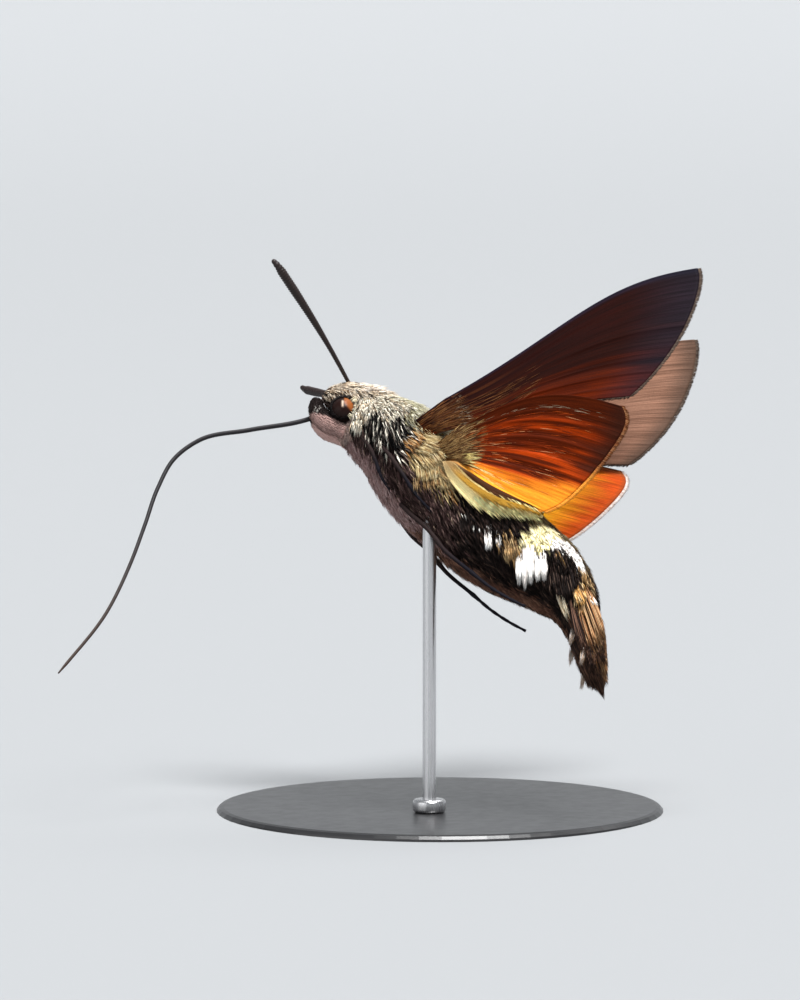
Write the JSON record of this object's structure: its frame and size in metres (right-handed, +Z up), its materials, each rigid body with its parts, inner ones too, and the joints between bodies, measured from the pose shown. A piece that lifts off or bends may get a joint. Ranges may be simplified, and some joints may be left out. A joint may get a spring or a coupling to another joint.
{
  "type": "hummingbird hawk moth",
  "caption": "Life-size hummingbird hawk moth hovering with raised wings, spread feelers and a long tongue, held by a rod over a round base.",
  "frame": {"origin": "middle of the base's flat underside", "axes": "+Z up off the surface that the base stands on, +X towards the moth's tail, +Y away from its left side"},
  "size_m": [0.0428, 0.03, 0.0395],
  "materials": {
    "coat_olive": "soft olive-grey hair with pale and black streaks",
    "coat_dark": "dense black-brown scales with white and buff tufts",
    "coat_pale": "short pinkish-grey hair",
    "eye": "glossy dark brown",
    "horn": "dull black-brown horn",
    "forewing": "scaled membrane, dark brown to rust",
    "hindwing": "scaled membrane, orange to yellow",
    "base": "satin black",
    "rod": "brushed"
  },
  "bodies": {
    "root": {"head": "coat_olive", "thorax": "coat_olive", "abdomen": "coat_dark", "tail_fan": "coat_dark", "eye_left": "eye", "eye_right": "eye", "palp_left": "coat_pale", "palp_right": "coat_pale", "antenna_left": "horn", "antenna_right": "horn", "proboscis_root": "horn", "proboscis_knee": "horn", "proboscis_tip": "horn", "forewing_left": "forewing", "forewing_right": "forewing", "hindwing_left": "hindwing", "hindwing_right": "hindwing", "foreleg_left": "horn", "foreleg_right": "horn", "midleg_left": "horn", "midleg_right": "horn", "hindleg_left": "horn", "hindleg_right": "horn", "stand_base": "base", "stand_rod": "rod"}
  },
  "joints": []
}
